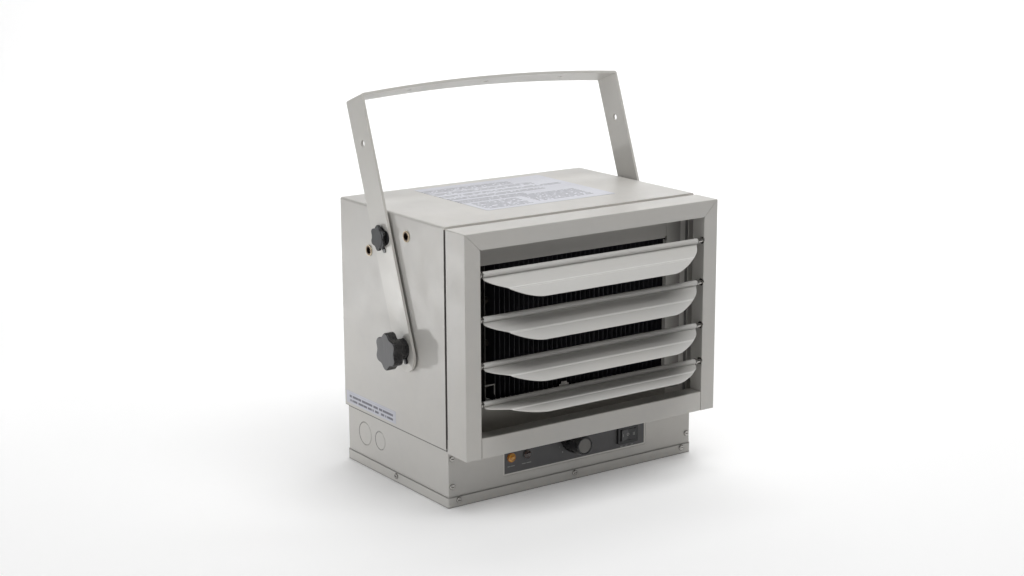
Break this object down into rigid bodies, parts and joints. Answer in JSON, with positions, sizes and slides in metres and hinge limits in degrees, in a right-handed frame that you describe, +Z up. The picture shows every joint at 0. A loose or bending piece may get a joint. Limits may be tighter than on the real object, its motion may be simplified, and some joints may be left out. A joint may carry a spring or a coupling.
{
  "type": "fan-forced utility heater",
  "caption": "Hard-wired box heater with adjustable outlet louvres, a control box underneath and a tilting U bracket for hanging it from a ceiling or wall.",
  "frame": {"origin": "centre of the base cover's underside", "axes": "+X to the right of a person facing the outlet, -Y out of the outlet, +Z up"},
  "size_m": [0.4164, 0.3231, 0.4591],
  "materials": {
    "case_paint": "fine-texture powder coat, warm light grey",
    "louvre_paint": "smooth powder coat, warm light grey",
    "galvanised": "galvanised sheet",
    "zinc_screw": "bright zinc plate",
    "black_knob": "moulded, satin",
    "fascia_film": "matt film",
    "amber_lens": "translucent amber",
    "dark_lens": "translucent dark",
    "black_moulding": "moulded",
    "fin_black": "heat-resistant black",
    "element_sheath": "oxidised sheath",
    "insulator": "unglazed",
    "brass": "machined",
    "blade_aluminium": "pressed sheet",
    "motor_steel": "black enamel",
    "guard_wire": "powder coated wire",
    "label": "blank film label",
    "terminal_moulding": "phenolic"
  },
  "bodies": {
    "case": {"base_cover": "case_paint", "bezel_bottom_rail": "case_paint", "bezel_screws": "zinc_screw", "bezel_spacers": "zinc_screw", "blank_labels": "label", "case_screws": "zinc_screw", "caution_lamp": "dark_lens", "contactor": "terminal_moulding", "control_fascia": "fascia_film", "control_panel": "case_paint", "divider_plate": "case_paint", "element_brackets": "galvanised", "element_clip": "galvanised", "element_fins": "fin_black", "element_insulators": "insulator", "element_rods": "element_sheath", "element_terminals": "zinc_screw", "fan_delay_switch": "terminal_moulding", "fan_motor": "motor_steel", "front_bezel": "case_paint", "guard_screws": "zinc_screw", "housing_wrap": "case_paint", "lamp_bodies": "black_moulding", "limit_thermostat": "galvanised", "louvre_friction_clips": "zinc_screw", "louvre_pins": "zinc_screw", "lower_box": "case_paint", "motor_bracket": "galvanised", "motor_screws": "zinc_screw", "power_lamp": "amber_lens", "rear_guard": "guard_wire", "rear_panel": "case_paint", "rocker_frame": "black_moulding", "terminal_block": "terminal_moulding", "terminal_screws": "brass", "thermostat_body": "black_moulding", "thermostat_nut": "zinc_screw", "threaded_inserts": "brass"},
    "bracket": {"mounting_bracket": "case_paint", "knob_washers": "black_knob", "pivot_spacers": "black_knob"},
    "louvre_1": {"louvre_1": "louvre_paint"},
    "louvre_2": {"louvre_2": "louvre_paint"},
    "louvre_3": {"louvre_3": "louvre_paint"},
    "louvre_4": {"louvre_4": "louvre_paint"},
    "fan": {"fan_blade": "blade_aluminium", "fan_shaft": "zinc_screw", "fan_nut": "zinc_screw"},
    "thermostat_dial": {"thermostat_knob": "black_knob", "thermostat_shaft": "zinc_screw"},
    "rocker": {"rocker_paddle": "black_moulding"},
    "pivot_stud_l": {"pivot_stud_left": "zinc_screw"},
    "pivot_knob_l": {"pivot_knob_left": "black_knob"},
    "pivot_stud_r": {"pivot_stud_right": "zinc_screw"},
    "pivot_knob_r": {"pivot_knob_right": "black_knob"},
    "lock_stud_l": {"lock_stud_left": "zinc_screw"},
    "lock_knob_l": {"lock_knob_left": "black_knob"},
    "lock_stud_r": {"lock_stud_right": "zinc_screw"},
    "lock_knob_r": {"lock_knob_right": "black_knob"}
  },
  "joints": [
    {"name": "bracket_tilt", "type": "hinge", "parent": "case", "child": "bracket", "pos_m": [0, -0.03275, 0.17], "axis": [1, 0, 0], "range_deg": [-20, 20]},
    {"name": "louvre_1_tilt", "type": "hinge", "parent": "case", "child": "louvre_1", "pos_m": [0, -0.1488, 0.2734], "axis": [1, 0, 0], "range_deg": [-34.5, 25.5]},
    {"name": "louvre_2_tilt", "type": "hinge", "parent": "case", "child": "louvre_2", "pos_m": [0, -0.1488, 0.2232], "axis": [1, 0, 0], "range_deg": [-31.5, 28.5]},
    {"name": "louvre_3_tilt", "type": "hinge", "parent": "case", "child": "louvre_3", "pos_m": [0, -0.1488, 0.1711], "axis": [1, 0, 0], "range_deg": [-21.5, 38.5]},
    {"name": "louvre_4_tilt", "type": "hinge", "parent": "case", "child": "louvre_4", "pos_m": [0, -0.1488, 0.127], "axis": [1, 0, 0], "range_deg": [-7, 53]},
    {"name": "fan_spin", "type": "hinge", "parent": "case", "child": "fan", "pos_m": [0, 0.097, 0.193], "axis": [0, 1, 0], "continuous": true},
    {"name": "thermostat_turn", "type": "hinge", "parent": "case", "child": "thermostat_dial", "pos_m": [-0.0042, -0.11, 0.048], "axis": [0, 1, 0], "range_deg": [-150, 150]},
    {"name": "rocker_rock", "type": "hinge", "parent": "case", "child": "rocker", "pos_m": [0.0785, -0.107, 0.0405], "axis": [0, 0, 1], "range_deg": [-9, 9]},
    {"name": "pivot_feed_l", "type": "slide", "parent": "case", "child": "pivot_stud_l", "axis": [-1, 0, 0], "range_m": [0, 0.00251]},
    {"name": "pivot_turn_l", "type": "hinge", "parent": "pivot_stud_l", "child": "pivot_knob_l", "pos_m": [-0.19, -0.03275, 0.17], "axis": [-1, 0, 0], "range_deg": [0, 720]},
    {"name": "lock_feed_l", "type": "slide", "parent": "bracket", "child": "lock_stud_l", "axis": [1, 0, 0], "range_m": [0, 0.00121]},
    {"name": "lock_turn_l", "type": "hinge", "parent": "lock_stud_l", "child": "lock_knob_l", "pos_m": [-0.19, 0.01134, 0.29113], "axis": [1, 0, 0], "range_deg": [0, 345.6]},
    {"name": "pivot_feed_r", "type": "slide", "parent": "case", "child": "pivot_stud_r", "axis": [1, 0, 0], "range_m": [0, 0.00251]},
    {"name": "pivot_turn_r", "type": "hinge", "parent": "pivot_stud_r", "child": "pivot_knob_r", "pos_m": [0.19, -0.03275, 0.17], "axis": [1, 0, 0], "range_deg": [0, 720]},
    {"name": "lock_feed_r", "type": "slide", "parent": "bracket", "child": "lock_stud_r", "axis": [-1, 0, 0], "range_m": [0, 0.00121]},
    {"name": "lock_turn_r", "type": "hinge", "parent": "lock_stud_r", "child": "lock_knob_r", "pos_m": [0.19, 0.01134, 0.29113], "axis": [-1, 0, 0], "range_deg": [0, 345.6]}
  ],
  "couplings": [
    {"joint": "pivot_feed_l", "follows": "pivot_turn_l", "m_per_rad": 0.00019894},
    {"joint": "lock_feed_l", "follows": "lock_turn_l", "m_per_rad": 0.00019894},
    {"joint": "pivot_feed_r", "follows": "pivot_turn_r", "m_per_rad": 0.00019894},
    {"joint": "lock_feed_r", "follows": "lock_turn_r", "m_per_rad": 0.00019894}
  ]
}
